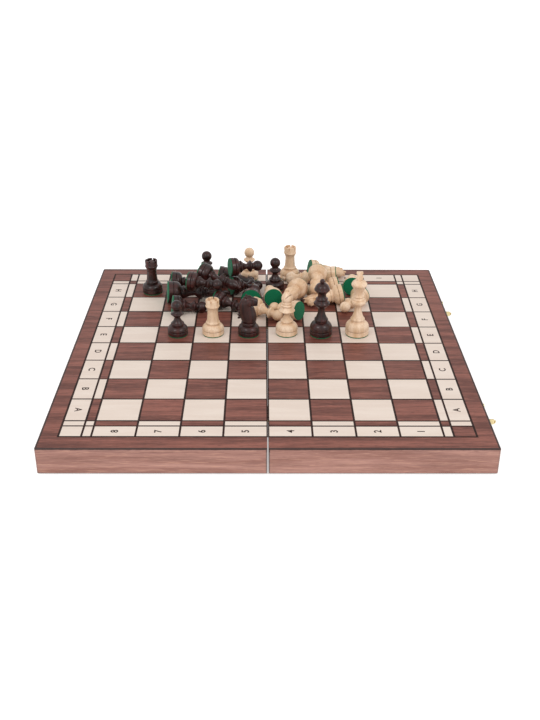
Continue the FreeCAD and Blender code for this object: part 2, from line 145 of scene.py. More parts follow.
# noise values between which each layer of the grain comes in
grainCut = {"band": (0.34, 0.68), "streak": (0.46, 0.72), "glint": (0.54, 0.70), "fleck": (0.60, 0.68)}
burnShare = 0.8
wearScale = 90.0
bumpDepth = 0.0002


def woodLook(name, look, alongAxis=0, place=None, edges=False, litSideLook=None):
    mat, tree, bsdf = startMaterial(name)
    if place is None:
        place = tree.nodes.new("ShaderNodeTexCoord").outputs["Object"]
    else:
        attribute = tree.nodes.new("ShaderNodeAttribute")
        attribute.attribute_name = place
        place = attribute.outputs["Vector"]

    if litSideLook:  # upright faces get a lighter copy of the wood: painted light from the front
        normal = tree.nodes.new("ShaderNodeSeparateXYZ")
        tree.links.new(tree.nodes.new("ShaderNodeNewGeometry").outputs["Normal"], normal.inputs[0])
        level = stepUp(tree, maths(tree, "ABSOLUTE", normal.outputs[2]), 0.3, 0.6)
        upright = maths(tree, "SUBTRACT", 1.0, level)

    def tone(key):
        if not litSideLook:
            return rgb(*look[key])
        return mixColor(tree, upright, rgb(*look[key]), rgb(*litSideLook[key]))

    def alongGrain(along, across, offset=(0, 0, 0)):
        scale = [across] * 3
        scale[alongAxis] = along
        return stretched(tree, place, scale, offset)

    def layer(name, value):
        return maths(tree, "MULTIPLY", stepUp(tree, value, *grainCut[name]), look[name + "Share"])

    broad = noise(tree, alongGrain(look["bandAlong"], look["bandAcross"]), 1.0, 5.0, 0.6, 0.5)
    streak = alongGrain(look["streakAlong"], look["streakAcross"], (3, 1, 2))
    streak = noise(tree, streak, 1.0, 3.0, 0.6, 0.15)
    fleck = noise(tree, alongGrain(look["fleckAlong"], look["fleckAcross"], (7, 5, 1)), 1.0, 1.0, 0.4)
    color = mixColor(tree, stepUp(tree, broad, *grainCut["band"]), tone("dark"), tone("light"))
    color = mixColor(tree, layer("streak", streak), color, tone("streak"))
    if "glint" in look:  # pale fibres between the darker ones
        fibre = alongGrain(look["fleckAlong"] * 0.4, look["fleckAcross"], (2, 9, 4))
        color = mixColor(tree, layer("glint", noise(tree, fibre, 1.0, 2.0, 0.5, 0.1)), color, tone("glint"))
    color = mixColor(tree, layer("fleck", fleck), color, tone("fleck"))
    if edges:
        color = stainEdgesShadeFoot(tree, place, color, look)
    if "burn" in look:  # friction-burnt lines at the bottom of the turned grooves
        burnt = tree.nodes.new("ShaderNodeAttribute")
        burnt.attribute_name = burnName
        burnt = maths(tree, "MULTIPLY", burnt.outputs["Fac"], burnShare)
        color = mixColor(tree, burnt, color, rgb(*look["burn"]))
    tree.links.new(color, bsdf.inputs["Base Color"])
    worn = noise(tree, place, wearScale, 3.0)
    rough = maths(tree, "MULTIPLY_ADD", worn, look["roughVary"], look["rough"] - look["roughVary"] / 2)
    tree.links.new(rough, bsdf.inputs["Roughness"])
    bsdf.inputs["Specular IOR Level"].default_value = look["shine"]
    bsdf.inputs["Coat Weight"].default_value = look["coat"]
    bsdf.inputs["Coat Roughness"].default_value = look["coatRough"]
    grain = maths(tree, "ADD", streak, maths(tree, "MULTIPLY", fleck, -0.6))
    bump(tree, bsdf, grain, look["bump"], bumpDepth)
    return mat


edgeStainAndFootShade = {
    "line": 2.2 * mm, "fade": 0.4 * mm, "topDepth": 1.6 * mm, "corner": 2.6 * mm, "cornerShare": 0.25,
    # foot and its share: the painted contact shadow along the bottom of the walls
    "seam": 1.6 * mm, "foot": 1.2 * mm, "footShadeShare": 0.7, "share": 0.9,
    "wobble": 0.9 * mm, "wobbleScale": 160.0,
}


def stainEdgesShadeFoot(tree, place, color, look):
    # the stain is dark along the outer top edges, on the upright corners and at the seam ends; the dark band
    # at the foot is painted shadow
    stain = edgeStainAndFootShade
    split = tree.nodes.new("ShaderNodeSeparateXYZ")
    tree.links.new(place, split.inputs[0])
    x = maths(tree, "ABSOLUTE", split.outputs[0])
    y = maths(tree, "ABSOLUTE", split.outputs[1])
    ragged = maths(tree, "SUBTRACT", noise(tree, place, stain["wobbleScale"], 2.0), 0.5)
    wobble = maths(tree, "MULTIPLY", ragged, stain["wobble"])
    xw = maths(tree, "ADD", x, wobble)
    yw = maths(tree, "ADD", y, wobble)
    zw = maths(tree, "ADD", split.outputs[2], wobble)
    lineX, lineY = sideX - stain["line"], halfDepth - stain["line"]
    nearSide = stepUp(tree, xw, lineX - stain["fade"], lineX + stain["fade"] / 2)
    nearDepth = stepUp(tree, yw, lineY - stain["fade"], lineY + stain["fade"] / 2)
    onTop = stepUp(tree, zw, boardTop - stain["topDepth"], boardTop - stain["topDepth"] / 2)
    rim = maths(tree, "MULTIPLY", maths(tree, "MAXIMUM", nearSide, nearDepth), onTop)
    cornerX = stepUp(tree, xw, sideX - stain["corner"], sideX - 1.2 * mm)
    cornerY = stepUp(tree, yw, halfDepth - stain["corner"], halfDepth - 1.2 * mm)
    corner = maths(tree, "MULTIPLY", maths(tree, "MULTIPLY", cornerX, cornerY), stain["cornerShare"])
    seamSide = maths(tree, "SUBTRACT", 1.0, stepUp(tree, xw, seamX + stain["fade"], seamX + stain["seam"]))
    endFace = stepUp(tree, y, halfDepth - 1.0 * mm, halfDepth - stain["fade"])
    seamEnd = maths(tree, "MULTIPLY", seamSide, endFace)
    # painted contact shadow along the bottom of the walls
    foot = maths(tree, "SUBTRACT", 1.0, stepUp(tree, zw, stain["fade"] / 2, stain["foot"]))
    foot = maths(tree, "MULTIPLY", foot, stain["footShadeShare"])
    dark = maths(tree, "MAXIMUM", maths(tree, "MAXIMUM", rim, corner), maths(tree, "MAXIMUM", seamEnd, foot))
    return mixColor(tree, maths(tree, "MULTIPLY", dark, stain["share"]), color, rgb(*look["edge"]))


boardWood = {
    "dark": (0.120, 0.035, 0.024), "light": (0.285, 0.098, 0.070),
    "streak": (0.080, 0.021, 0.016), "fleck": (0.050, 0.015, 0.012), "glint": (0.400, 0.150, 0.100),
    "glintShare": 0.55,
    "bandAlong": 6.0, "bandAcross": 90.0, "streakAlong": 22.0, "streakAcross": 520.0,
    "fleckAlong": 130.0, "fleckAcross": 1300.0, "streakShare": 0.70, "fleckShare": 0.45,
    "rough": 0.46, "roughVary": 0.16, "shine": 0.32, "coat": 0.04, "coatRough": 0.22, "bump": 0.25,
    "edge": (0.026, 0.012, 0.010),
}
# a lighter copy of the board wood: painted frontal light on the rails and upright faces
litRailWood = dict(boardWood, dark=(0.265, 0.118, 0.090), light=(0.430, 0.225, 0.180),
                streak=(0.205, 0.095, 0.076), fleck=(0.170, 0.070, 0.052), glint=(0.560, 0.300, 0.215),
                edge=(0.085, 0.070, 0.064), fleckShare=0.25, streakShare=0.6,
                streakAlong=14.0, streakAcross=300.0)
veneerTop = woodLook("stained_veneer_top_lit_sides_shaded_foot", boardWood, 0, edges=True, litSideLook=litRailWood)
railAlong = woodLook("lit_stained_rail_lengthwise_shaded_foot", litRailWood, 0, edges=True)
railAcross = woodLook("lit_stained_rail_crosswise_shaded_foot", litRailWood, 1, edges=True)

creamVeneer = {
    "dark": (0.735, 0.612, 0.528), "light": (0.785, 0.670, 0.585),
    "streak": (0.712, 0.590, 0.505), "fleck": (0.635, 0.505, 0.412),
    "bandAlong": 9.0, "bandAcross": 70.0, "streakAlong": 30.0, "streakAcross": 500.0,
    "fleckAlong": 220.0, "fleckAcross": 1200.0, "streakShare": 0.25, "fleckShare": 0.16,
    "rough": 0.48, "roughVary": 0.14, "shine": 0.35, "coat": 0.04, "coatRough": 0.22, "bump": 0.12,
}
creamWood = woodLook("cream_veneer", creamVeneer, 0)
lineStain = dict(boardWood, dark=(0.020, 0.009, 0.007), light=(0.040, 0.018, 0.014), shine=0.1, coat=0.0,
                 streak=(0.014, 0.007, 0.006), fleck=(0.010, 0.006, 0.005), glint=(0.070, 0.028, 0.020))
lineWood = woodLook("dark_line_stain_and_seam_shade", lineStain, 0)
printInk = woodLook("dark_lettering", dict(lineStain, rough=0.5), 0)


def brassLook(name, tint):
    mat, tree, bsdf = startMaterial(name)
    place = tree.nodes.new("ShaderNodeTexCoord").outputs["Object"]
    cloud = noise(tree, place, 260.0, 5.0, 0.6)
    fine = noise(tree, place, 1800.0, 2.0, 0.5)
    tarnish = maths(tree, "MULTIPLY", stepUp(tree, cloud, 0.48, 0.70), tint["tarnish"])
    color = mixColor(tree, tarnish, rgb(*tint["bright"]), rgb(*tint["dull"]))
    tree.links.new(color, bsdf.inputs["Base Color"])
    bsdf.inputs["Metallic"].default_value = 1.0
    rough = maths(tree, "MULTIPLY_ADD", cloud, 0.22, tint["rough"])
    tree.links.new(rough, bsdf.inputs["Roughness"])
    bump(tree, bsdf, fine, 0.12, 0.0001)
    return mat


brass = brassLook("pale_brass", {"bright": (0.74, 0.62, 0.34), "dull": (0.40, 0.34, 0.17), "tarnish": 0.45,
                                 "rough": 0.16})


def feltLook(name, cloth):
    mat, tree, bsdf = startMaterial(name)
    place = tree.nodes.new("ShaderNodeTexCoord").outputs["Object"]
    fuzz = noise(tree, place, 1500.0, 4.0, 0.7)
    patch = noise(tree, place, 90.0, 3.0, 0.5)
    color = mixColor(tree, stepUp(tree, fuzz, 0.3, 0.7), rgb(*cloth["deep"]), rgb(*cloth["lit"]))
    patches = maths(tree, "MULTIPLY", stepUp(tree, patch, 0.4, 0.7), cloth["wornShare"])
    color = mixColor(tree, patches, color, rgb(*cloth["worn"]))
    tree.links.new(color, bsdf.inputs["Base Color"])
    rough = maths(tree, "MULTIPLY_ADD", fuzz, 0.1, 0.88)
    tree.links.new(rough, bsdf.inputs["Roughness"])
    bsdf.inputs["Sheen Weight"].default_value = 0.15
    bsdf.inputs["Specular IOR Level"].default_value = 0.2
    bump(tree, bsdf, fuzz, 0.6, 0.0003)
    return mat


greenFelt = feltLook("green_felt", {"deep": (0.000, 0.105, 0.042), "lit": (0.004, 0.185, 0.080),
                                    "worn": (0.010, 0.140, 0.066), "wornShare": 0.3})

darkTurned = {
    "dark": (0.010, 0.0035, 0.0030), "light": (0.046, 0.0110, 0.0085),
    "streak": (0.105, 0.0150, 0.0120), "fleck": (0.004, 0.0022, 0.0020), "burn": (0.003, 0.0018, 0.0016),
    "bandAlong": 18.0, "bandAcross": 90.0, "streakAlong": 28.0, "streakAcross": 260.0,
    "fleckAlong": 160.0, "fleckAcross": 1100.0, "streakShare": 0.45, "fleckShare": 0.5,
    "rough": 0.36, "roughVary": 0.12, "shine": 0.36, "coat": 0.22, "coatRough": 0.10, "bump": 0.14,
}
lightTurned = {
    "dark": (0.690, 0.455, 0.275), "light": (0.860, 0.650, 0.475),
    "streak": (0.600, 0.380, 0.215), "fleck": (0.430, 0.250, 0.120), "burn": (0.200, 0.085, 0.035),
    "bandAlong": 14.0, "bandAcross": 80.0, "streakAlong": 24.0, "streakAcross": 330.0,
    "fleckAlong": 190.0, "fleckAcross": 1200.0, "streakShare": 0.40, "fleckShare": 0.32,
    "rough": 0.44, "roughVary": 0.12, "shine": 0.40, "coat": 0.10, "coatRough": 0.16, "bump": 0.14,
}
darkPieceWood = woodLook("dark_turned_wood", darkTurned, 2, grainName)
lightPieceWood = woodLook("light_turned_wood", lightTurned, 2, grainName)
print("materials made")


# ---- mesh helpers

def finishMesh(bm, name, sharpAngle=32.0):
    bmesh.ops.remove_doubles(bm, verts=bm.verts, dist=0.000001)
    bmesh.ops.recalc_face_normals(bm, faces=bm.faces)
    limit = math.radians(sharpAngle)
    for face in bm.faces:
        face.smooth = True
    for edge in bm.edges:
        edge.smooth = len(edge.link_faces) == 2 and edge.calc_face_angle(0.0) < limit
    mesh = bpy.data.meshes.new(name)
    bm.to_mesh(mesh)
    bm.free()
    return mesh


def addPiece(name, mesh, material, body, nodes=()):
    obj = bpy.data.objects.new(name, mesh)
    scene.collection.objects.link(obj)
    mesh.materials.clear()
    mesh.materials.append(material)
    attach(obj, body)
    if nodes:
        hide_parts(*nodes)


def wear(node, material):
    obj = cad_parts[node]
    obj.data.materials.clear()
    obj.data.materials.append(material)


# ---- the board

field = {
    "square": 46.0 * mm, "strip": 10.4 * mm, "band": 24.0 * mm, "nearBand": 21.0 * mm, "line": 2.3 * mm,
    "seamHalf": 0.12 * mm,  # the dark line at the seam laps over the open joint: painted shade in the joint
    "seamEdge": 0.69 * mm,  # dark edge of the squares beside the seam
    "sunk": 0.05 * mm,
    "lineProud": 0.03 * mm, "tileProud": 0.06 * mm,
    "letterHeight": 11.0 * mm, "letterProud": 0.03 * mm, "letterBold": 0.22 * mm,
}


def cellEdges():
    square, strip, band = field["square"], field["strip"], field["band"]
    half = [0.0, square, 2 * square, 3 * square, 4 * square, 4 * square + strip, 4 * square + strip + band]
    across = [-(seamX + v) for v in reversed(half)] + [seamX + v for v in half]
    depth = [-v for v in reversed(half)] + half[1:]
    depth[0] = depth[1] - field["nearBand"]
    columns = [(across[i], across[i + 1]) for i in range(13) if i != 6]  # span 6 is the open seam
    rows = [(depth[i], depth[i + 1]) for i in range(12)]
    return columns, rows


columns, rows = cellEdges()


def isCream(column, row):
    # the letter and number bands are cream but for the corners, the rest alternates
    sideBand = column in (0, 11)
    endBand = row in (0, 11)
    if sideBand != endBand:
        return True
    return (column + row) % 2 == 0


def addPlate(bm, x0, x1, y0, y1, z0, z1):
    made = bmesh.ops.create_grid(bm, x_segments=1, y_segments=1, size=0.5)["verts"]
    bmesh.ops.scale(bm, vec=(x1 - x0, y1 - y0, 1.0), verts=made)
    bmesh.ops.translate(bm, vec=((x0 + x1) / 2, (y0 + y1) / 2, z0), verts=made)
    base = list({face for vert in made for face in vert.link_faces})
    grown = bmesh.ops.extrude_face_region(bm, geom=base, use_keep_orig=True)["geom"]
    top = [item for item in grown if isinstance(item, bmesh.types.BMVert)]
    bmesh.ops.translate(bm, vec=(0, 0, z1 - z0), verts=top)


def boardField(side):
    body = side + "_half"
    mine = range(0, 6) if side == "left" else range(6, 12)
    gap = field["line"] / 2
    lineTop = boardTop + field["lineProud"]
    under = boardTop - field["sunk"]
    plate = bmesh.new()
    low = min(columns[c][0] for c in mine)
    high = max(columns[c][1] for c in mine)
    # the plates reach over the open seam joint, a painted shade in the joint
    x0 = low - gap if side == "left" else field["seamHalf"]
    x1 = high + gap if side == "right" else -field["seamHalf"]
    addPlate(plate, x0, x1, rows[0][0] - gap, rows[11][1] + gap, under, lineTop)
    addPiece(side + "_dark_lines_and_seam_shade", finishMesh(plate, side + "_dark_lines_and_seam_shade"), lineWood, body)
    tiles = {True: bmesh.new(), False: bmesh.new()}
    for c in mine:
        for r in range(12):
            x0, x1 = columns[c]
            y0, y1 = rows[r]
            left = field["seamEdge"] if c == 6 else gap
            right = field["seamEdge"] if c == 5 else gap
            addPlate(tiles[isCream(c, r)], x0 + left, x1 - right, y0 + gap, y1 - gap,
                     lineTop - 0.01 * mm, boardTop + field["tileProud"])
    addPiece(side + "_cream_squares", finishMesh(tiles[True], side + "_cream_squares"), creamWood, body)
    addPiece(side + "_brown_squares", finishMesh(tiles[False], side + "_brown_squares"), veneerTop, body)


def addLetter(bm, text, x, y, turn):
    curve = bpy.data.curves.new("letter", "FONT")
    curve.body = text
    curve.align_x = "CENTER"
    curve.size = field["letterHeight"]
    curve.extrude = field["letterProud"]
    curve.offset = field["letterBold"]
    curve.resolution_u = 4
    holder = bpy.data.objects.new("letter", curve)
    scene.collection.objects.link(holder)
    bpy.context.view_layer.update()
    mesh = bpy.data.meshes.new_from_object(holder.evaluated_get(bpy.context.evaluated_depsgraph_get()))
    one = bmesh.new()
    one.from_mesh(mesh)
    bmesh.ops.remove_doubles(one, verts=one.verts, dist=0.000001)
    low = Vector([min(v.co[i] for v in one.verts) for i in range(3)])
    high = Vector([max(v.co[i] for v in one.verts) for i in range(3)])
    bmesh.ops.translate(one, vec=-(low + high) / 2, verts=one.verts)
    bmesh.ops.rotate(one, cent=(0, 0, 0), matrix=Matrix.Rotation(math.radians(turn), 3, "Z"), verts=one.verts)
    bmesh.ops.translate(one, vec=(x, y, boardTop + field["tileProud"] + field["letterProud"] * 0.6),
                        verts=one.verts)
    done = bpy.data.meshes.new("letterMesh")
    one.to_mesh(done)
    one.free()
    bm.from_mesh(done)
    bpy.data.objects.remove(holder)
    bpy.data.curves.remove(curve)
    bpy.data.meshes.remove(mesh)
    bpy.data.meshes.remove(done)


def middleOf(span):
    return (span[0] + span[1]) / 2


def boardLetters():
    # letters run up both sides and numbers along the near and far edges, tops towards the middle line
    for side in ("left", "right"):
        bm = bmesh.new()
        column = 0 if side == "left" else 11
        turn = -90 if side == "left" else 90
        for i, letter in enumerate("ABCDEFGH"):
            addLetter(bm, letter, middleOf(columns[column]), middleOf(rows[2 + i]), turn)
        for c in (range(2, 6) if side == "left" else range(6, 10)):
            number = str(10 - c)
            addLetter(bm, number, middleOf(columns[c]), middleOf(rows[0]), 90)
            addLetter(bm, number, middleOf(columns[c]), middleOf(rows[11]), -90)
        addPiece(side + "_letters", finishMesh(bm, side + "_letters"), printInk, side + "_half")


for side in ("left", "right"):
    boardField(side)
    wear(side + "_panel", veneerTop)
    for rail in ("front", "back"):
        wear(side + "_" + rail + "_rail", railAlong)
    for rail in ("outer", "seam"):
        wear(side + "_" + rail + "_rail", railAcross)
    wear(side + "_lining", greenFelt)
boardLetters()
for node in ("hinge_leaves_left", "hinge_leaves_right", "hinge_pins", "hinge_screws_left",
             "hinge_screws_right", "hook_front", "hook_back", "hook_screws", "catch_studs"):
    wear(node, brass)
print("board dressed")


# ---- turned pieces, millimetres in the profiles

feltThick = 1.0
tipFlat = 0.4
turning = {"steps": 56, "arcParts": 6}


def arcPoints(a, mid, b, parts):
    # points after a up to b on the circle through three points
    (ax, ay), (mx, my), (bx, by) = a, mid, b
    d = 2 * (ax * (my - by) + mx * (by - ay) + bx * (ay - my))
    if abs(d) < 1e-9:
        return [b]
    sa, sm, sb = ax * ax + ay * ay, mx * mx + my * my, bx * bx + by * by
    cx = (sa * (my - by) + sm * (by - ay) + sb * (ay - my)) / d
    cy = (sa * (bx - mx) + sm * (ax - bx) + sb * (mx - ax)) / d
    radius = math.hypot(ax - cx, ay - cy)
    start = math.atan2(ay - cy, ax - cx)
    middle = (math.atan2(my - cy, mx - cx) - start) % (2 * math.pi)
    end = (math.atan2(by - cy, bx - cx) - start) % (2 * math.pi)
    if middle > end:
        end -= 2 * math.pi
    return [(cx + radius * math.cos(start + end * i / parts), cy + radius * math.sin(start + end * i / parts))
            for i in range(1, parts + 1)]


def profileLine(steps):
    line = [steps[0]]
    for step in steps[1:]:
        if len(step) == 2:
            line.append(step)
        else:
            line += arcPoints(line[-1], step[:2], step[2:], turning["arcParts"])
    return line


def turnedBlank(steps):
    line = [(0.0, steps[0][1])] + profileLine(steps)
    line.append((0.0, line[-1][1]))
    bm = bmesh.new()
    verts = [bm.verts.new((r * mm, 0.0, z * mm)) for r, z in line]
    edges = [bm.edges.new((verts[i], verts[i + 1])) for i in range(len(verts) - 1)]
    bmesh.ops.spin(bm, geom=verts + edges, cent=(0, 0, 0), axis=(0, 0, 1), dvec=(0, 0, 0),
                   angle=2 * math.pi, steps=turning["steps"], use_merge=True, use_duplicate=False)
    bmesh.ops.remove_doubles(bm, verts=bm.verts, dist=0.000002)
    bmesh.ops.recalc_face_normals(bm, faces=bm.faces)
    return bm


def baseSteps(foot, skirt, skirtZ):
    groove = 0.5 * foot
    domeTop = 0.83 * skirtZ
    full = groove + 0.25 * (domeTop - groove)
    return [
        (foot - 0.6, feltThick),
        (foot - 0.1, 1.5, foot, 2.4),
        (foot, groove - 1.0),
        (foot - 0.15, groove - 0.5, foot - 0.9, groove - 0.25),
        (foot - 1.1, groove),
        (foot - 0.9, groove + 0.25),
        (foot - 0.2, groove + 0.5, foot, groove + 1.1),
        (foot, full),
        (0.9 * foot, full + 0.62 * (domeTop - full), 0.66 * foot, domeTop),
        (skirt - 0.9, domeTop + 0.3),
        (skirt - 1.0, skirtZ - 1.4),
        (skirt - 0.1, skirtZ - 0.8, skirt, skirtZ),
        (skirt - 0.2, skirtZ + 0.6, skirt - 0.8, skirtZ + 1.0),
    ]


def ballSteps(radius, top, neck):
    middle = top - radius
    leaveZ = middle - math.sqrt(radius ** 2 - neck ** 2)
    return [
        (neck, leaveZ),
        (radius * math.cos(0.4), middle - radius * math.sin(0.4), radius, middle),
        (radius * math.cos(0.8), middle + radius * math.sin(0.8), tipFlat, top - 0.01),
    ]


def cutWith(blank, cutters, name):
    # saw cuts into a turned blank
    body = bpy.data.objects.new("blank", finishMesh(blank, name))
    tool = bpy.data.objects.new("saw", finishMesh(cutters, "saw"))
    scene.collection.objects.link(body)
    scene.collection.objects.link(tool)
    cut = body.modifiers.new("cut", "BOOLEAN")
    cut.operation = "DIFFERENCE"
    cut.solver = "EXACT"
    cut.object = tool
    bpy.context.view_layer.update()
    mesh = bpy.data.meshes.new_from_object(body.evaluated_get(bpy.context.evaluated_depsgraph_get()))
    bm = bmesh.new()
    bm.from_mesh(mesh)
    bpy.data.objects.remove(body)
    bpy.data.objects.remove(tool)
    bpy.data.meshes.remove(mesh)
    return bm


def addBlock(bm, size, place):
    made = bmesh.ops.create_cube(bm, size=1.0)["verts"]
    bmesh.ops.scale(bm, vec=[v * mm for v in size], verts=made)
    bmesh.ops.transform(bm, matrix=place, verts=made)


pawnMade = {"foot": 12.8, "height": 46.8}
rookMade = {"foot": 13.7, "height": 47.5, "notches": 6, "notchWide": 1.7, "notchDeep": 2.8}
knightMade = {"foot": 13.6}
bishopMade = {"foot": 13.9, "height": 62.5, "slitWide": 0.9, "slitLean": -52.0}
queenMade = {"foot": 14.1, "height": 76.0}
kingMade = {"foot": 14.9, "height": 85.2, "crownTop": 73.6, "crossThick": 3.4}


def makePawn():
    steps = baseSteps(pawnMade["foot"], 8.4, 15.6) + [
        (5.0, 20.0, 3.6, 23.8),
        (3.9, 24.6),
        (7.6, 28.2),
        (8.1, 29.1, 7.6, 29.9),
        (5.3, 31.3),
        (4.6, 32.4),
    ]
    return turnedBlank(steps + ballSteps(7.2, pawnMade["height"], 4.6))


def makeRook():
    top = rookMade["height"]
    steps = baseSteps(rookMade["foot"], 8.9, 16.6) + [
        (7.6, 18.2),
        (6.9, 25.0, 6.5, 33.4),
        (6.9, 34.6),
        (8.6, 38.4),
        (8.9, 39.1, 8.5, 39.7),
        (8.3, 40.0),
        (8.5, top - 0.6),
        (8.1, top),
        (6.3, top),
        (5.9, top - 3.8),
        (3.4, top - 3.8),
        (3.2, top - 1.6),
        (2.0, top - 0.9, tipFlat, top - 0.7),
    ]
    saw = bmesh.new()
    for i in range(rookMade["notches"]):
        turn = Matrix.Rotation(math.radians(i * 360 / rookMade["notches"] + 20), 4, "Z")
        middle = Vector((8.3 * mm, 0, (top - rookMade["notchDeep"] + 2.1) * mm))
        addBlock(saw, (7.4, rookMade["notchWide"], 4.2), turn @ Matrix.Translation(middle))
    return cutWith(turnedBlank(steps), saw, "rookBlank")


def makeBishop():
    top = bishopMade["height"]
    steps = baseSteps(bishopMade["foot"], 8.0, 18.2) + [
        (5.0, 22.4, 3.6, 27.4),
        (3.8, 28.6),
        (9.3, 31.5),
        (10.0, 32.3, 9.4, 33.1),
        (6.7, 37.4),
        (7.4, 38.8),
        (7.8, 39.6, 7.4, 40.4),
        (6.0, 41.5),
        (6.6, 42.3),
        (6.9, 42.9, 6.5, 43.5),
        (5.9, 44.2),
        (7.2, 48.6, 5.0, 54.3),
        (3.8, 56.4, 1.9, 58.3),
    ]
    saw = bmesh.new()
    lean = Matrix.Rotation(math.radians(bishopMade["slitLean"]), 4, "Y")
    place = Matrix.Translation((1.0 * mm, 0, (top - 13.5) * mm)) @ lean @ Matrix.Translation((8.2 * mm, 0, 0))
    addBlock(saw, (14.0, 20.0, bishopMade["slitWide"]), place)
    return cutWith(turnedBlank(steps + ballSteps(2.4, top, 1.8)), saw, "bishopBlank")


def makeQueen():
    steps = baseSteps(queenMade["foot"], 8.7, 21.6) + [
        (5.4, 28.0, 4.2, 36.4),
        (4.7, 37.6),
        (8.8, 41.2),
        (10.1, 43.6, 9.2, 45.4),
        (6.6, 48.0),
        (7.3, 48.8),
        (7.7, 49.5, 7.2, 50.3),
        (5.6, 51.8),
        (5.2, 54.0, 5.4, 56.6),
        (8.9, 60.8),
        (9.9, 62.4, 9.3, 63.6),
        (7.7, 67.4, 3.4, 70.6),
        (2.4, 70.7),
    ]
    return turnedBlank(steps + ballSteps(3.1, queenMade["height"], 2.3))


def makeKing():
    top, crown = kingMade["height"], kingMade["crownTop"]
    steps = baseSteps(kingMade["foot"], 9.1, 21.5) + [
        (5.6, 28.6, 4.3, 37.0),
        (4.8, 38.2),
        (8.4, 42.0),
        (9.8, 45.0, 9.4, 46.8),
        (6.9, 47.6),
        (7.1, 48.4, 6.6, 49.4),
        (5.8, 50.6),
        (6.3, 51.6),
        (6.5, 52.4, 6.1, 53.2),
        (5.6, 54.6),
        (6.6, 61.0, 9.3, 66.6),
        (9.9, 68.4, 9.2, 70.2),
        (7.8, 72.2, 2.8, crown),
    ]
    body = turnedBlank(steps)
    # the finial: a flat cross with two narrow waists, cut from one board
    outline = [(2.9, crown - 1.2), (2.4, crown + 1.4), (4.6, crown + 2.8), (4.6, crown + 5.4),
               (2.5, crown + 7.0), (4.1, crown + 8.6), (4.1, top - 0.5), (3.4, top)]
    outline += [(-y, z) for y, z in reversed(outline)]
    half = kingMade["crossThick"] / 2
    cross = bmesh.new()
    face = cross.faces.new([cross.verts.new((-half * mm, y * mm, z * mm)) for y, z in outline])
    grown = bmesh.ops.extrude_face_region(cross, geom=[face], use_keep_orig=True)["geom"]
    far = [item for item in grown if isinstance(item, bmesh.types.BMVert)]
    bmesh.ops.translate(cross, vec=(2 * half * mm, 0, 0), verts=far)
    bmesh.ops.recalc_face_normals(cross, faces=cross.faces)
    bmesh.ops.bevel(cross, geom=list(cross.edges), offset=0.45 * mm, segments=2, profile=0.5, affect="EDGES",
                    material=-1)
    mesh = bpy.data.meshes.new("cross")
    cross.to_mesh(mesh)
    cross.free()
    body.from_mesh(mesh)
    bpy.data.meshes.remove(mesh)
    return body


# neck and head of the knight as a row of rings: x, z, lean from upright, half depth, half width
knightRings = [
    (0.6, 16.6, 0, 7.2, 7.0),
    (0.4, 20.0, 0, 9.4, 7.8),
    (-0.2, 25.5, -3, 10.4, 7.4),
    (-1.2, 31.0, -3, 10.0, 6.7),
    (-2.4, 37.0, 2, 9.6, 6.1),
    (-2.0, 42.4, 32, 9.0, 5.6),
    (1.4, 45.6, 76, 6.8, 5.2),
    (5.0, 45.0, 100, 6.0, 4.8),
    (8.2, 44.4, 98, 5.5, 4.4),
    (10.4, 44.2, 96, 5.0, 3.9),
    (11.6, 44.1, 95, 3.7, 2.9),
]


def between(a, b, c, d, t):
    # smooth curve through a row of values
    square = (2 * a - 5 * b + 4 * c - d) * t * t
    cube = (3 * b - a - 3 * c + d) * t ** 3
    return 0.5 * (2 * b + (c - a) * t + square + cube)


